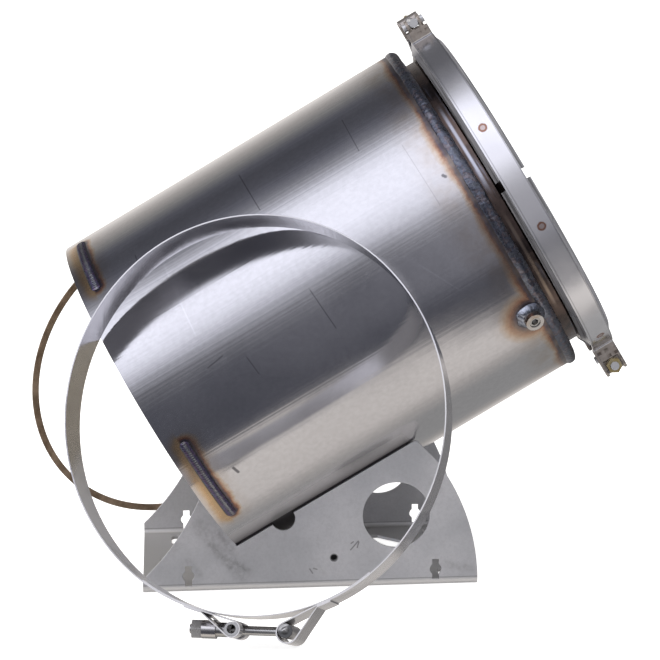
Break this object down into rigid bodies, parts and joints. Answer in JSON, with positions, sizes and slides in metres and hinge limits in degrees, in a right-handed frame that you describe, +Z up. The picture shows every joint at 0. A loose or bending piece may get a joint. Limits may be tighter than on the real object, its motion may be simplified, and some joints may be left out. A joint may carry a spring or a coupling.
{
  "type": "diesel particulate filter set",
  "caption": "Exhaust particulate filter canister with V-band flange, lying on its folded cradle, with a loose mounting strap and a loose gasket ring.",
  "frame": {"origin": "on the floor, between the cradle's two plates, at the middle of the cradle's own drawing", "axes": "+X along the cradle from the canister's low open end to its high flange end, +Y from the loose strap's side to the loose gasket's side, +Z up"},
  "size_m": [0.5585, 0.5523, 0.5148],
  "materials": {
    "shell_steel": "rolled stainless sheet, polished",
    "flange_steel": "stainless, heat darkened",
    "weld_metal": "bare weld bead with heat tint",
    "ceramic": "porous ceramic honeycomb",
    "mat_fibre": "ceramic fibre mat",
    "band_steel": "pressed stainless, satin",
    "bolt_steel": "bright bolt steel",
    "yellow_zinc": "yellow zinc plate on steel",
    "cradle_steel": "mill finish sheet, matte",
    "strap_steel": "bright stainless strip",
    "gasket_fibre": "pressed graphite and fibre"
  },
  "bodies": {
    "root": {"boss_plug": "bolt_steel", "boss_weld": "weld_metal", "cradle_bracket": "cradle_steel", "filter_substrate": "ceramic", "flange_end_retainer": "flange_steel", "flange_neck": "flange_steel", "gasket_ring": "gasket_fibre", "girth_weld": "weld_metal", "mounting_strap": "strap_steel", "open_end_retainer": "flange_steel", "outer_shell": "shell_steel", "sensor_boss": "flange_steel", "stop_bead_a": "weld_metal", "stop_bead_b": "weld_metal", "stop_bead_c": "weld_metal", "stop_bead_d": "weld_metal", "strap_collar": "bolt_steel", "strap_liner": "strap_steel", "strap_nut": "bolt_steel", "strap_sleeve": "bolt_steel", "strap_t_bolt": "bolt_steel", "strap_trunnion": "strap_steel", "support_mat": "mat_fibre", "v_band_front": "band_steel", "v_band_rear": "band_steel", "v_flange": "flange_steel", "v_nut_bottom": "yellow_zinc", "v_nut_top": "yellow_zinc", "v_retainer_front_lower": "band_steel", "v_retainer_front_upper": "band_steel", "v_retainer_rear_lower": "band_steel", "v_retainer_rear_upper": "band_steel", "v_t_bolt_bottom": "bolt_steel", "v_t_bolt_top": "bolt_steel", "v_trunnion_bottom": "band_steel", "v_trunnion_top": "band_steel"}
  },
  "joints": []
}
